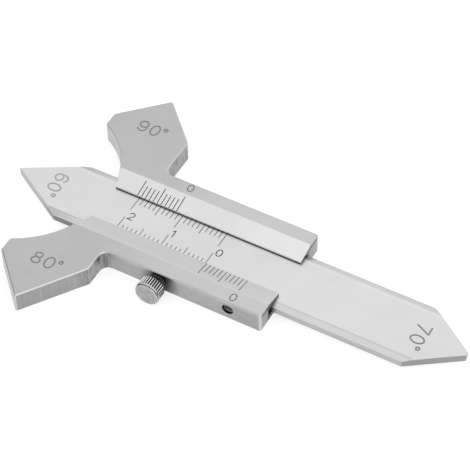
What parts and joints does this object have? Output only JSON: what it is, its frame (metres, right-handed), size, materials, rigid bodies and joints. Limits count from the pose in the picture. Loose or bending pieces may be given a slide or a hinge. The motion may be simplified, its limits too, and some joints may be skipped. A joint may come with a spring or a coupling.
{
  "type": "weld gap gauge",
  "caption": "Flat steel vernier weld seam gauge: a double-pointed beam slides in a C-shaped channel with a 90 degree and an 80 degree jaw, clamped by a knurled thumb screw.",
  "frame": {"origin": "under the middle of the beam's length, on the plane of the slide's back, midway between the two jaws' outer corners", "axes": "+X along the beam towards the 70 degree point, +Y across the beam towards the 90 degree jaw, +Z out of the graduated face"},
  "size_m": [0.0992, 0.0598, 0.0052],
  "materials": {
    "slide_steel": "ground, satin",
    "beam_steel": "fine ground, satin",
    "strip_steel": "plain",
    "knob_steel": "turned, knurled",
    "grub_steel": "plain"
  },
  "bodies": {
    "slide": {"slide_body": "slide_steel", "gib_strip": "strip_steel", "set_screw": "grub_steel"},
    "beam": {"beam": "beam_steel"},
    "thumb_screw": {"lock_screw": "knob_steel"}
  },
  "joints": [
    {"name": "beam_travel", "type": "slide", "parent": "slide", "child": "beam", "axis": [1, 0, 0], "range_m": [-0.0115, 0.02957]},
    {"name": "lock_turn", "type": "hinge", "parent": "slide", "child": "thumb_screw", "pos_m": [-0.01027, -0.01175, 0.0026], "axis": [0, 1, 0], "range_deg": [-360, 0]}
  ]
}
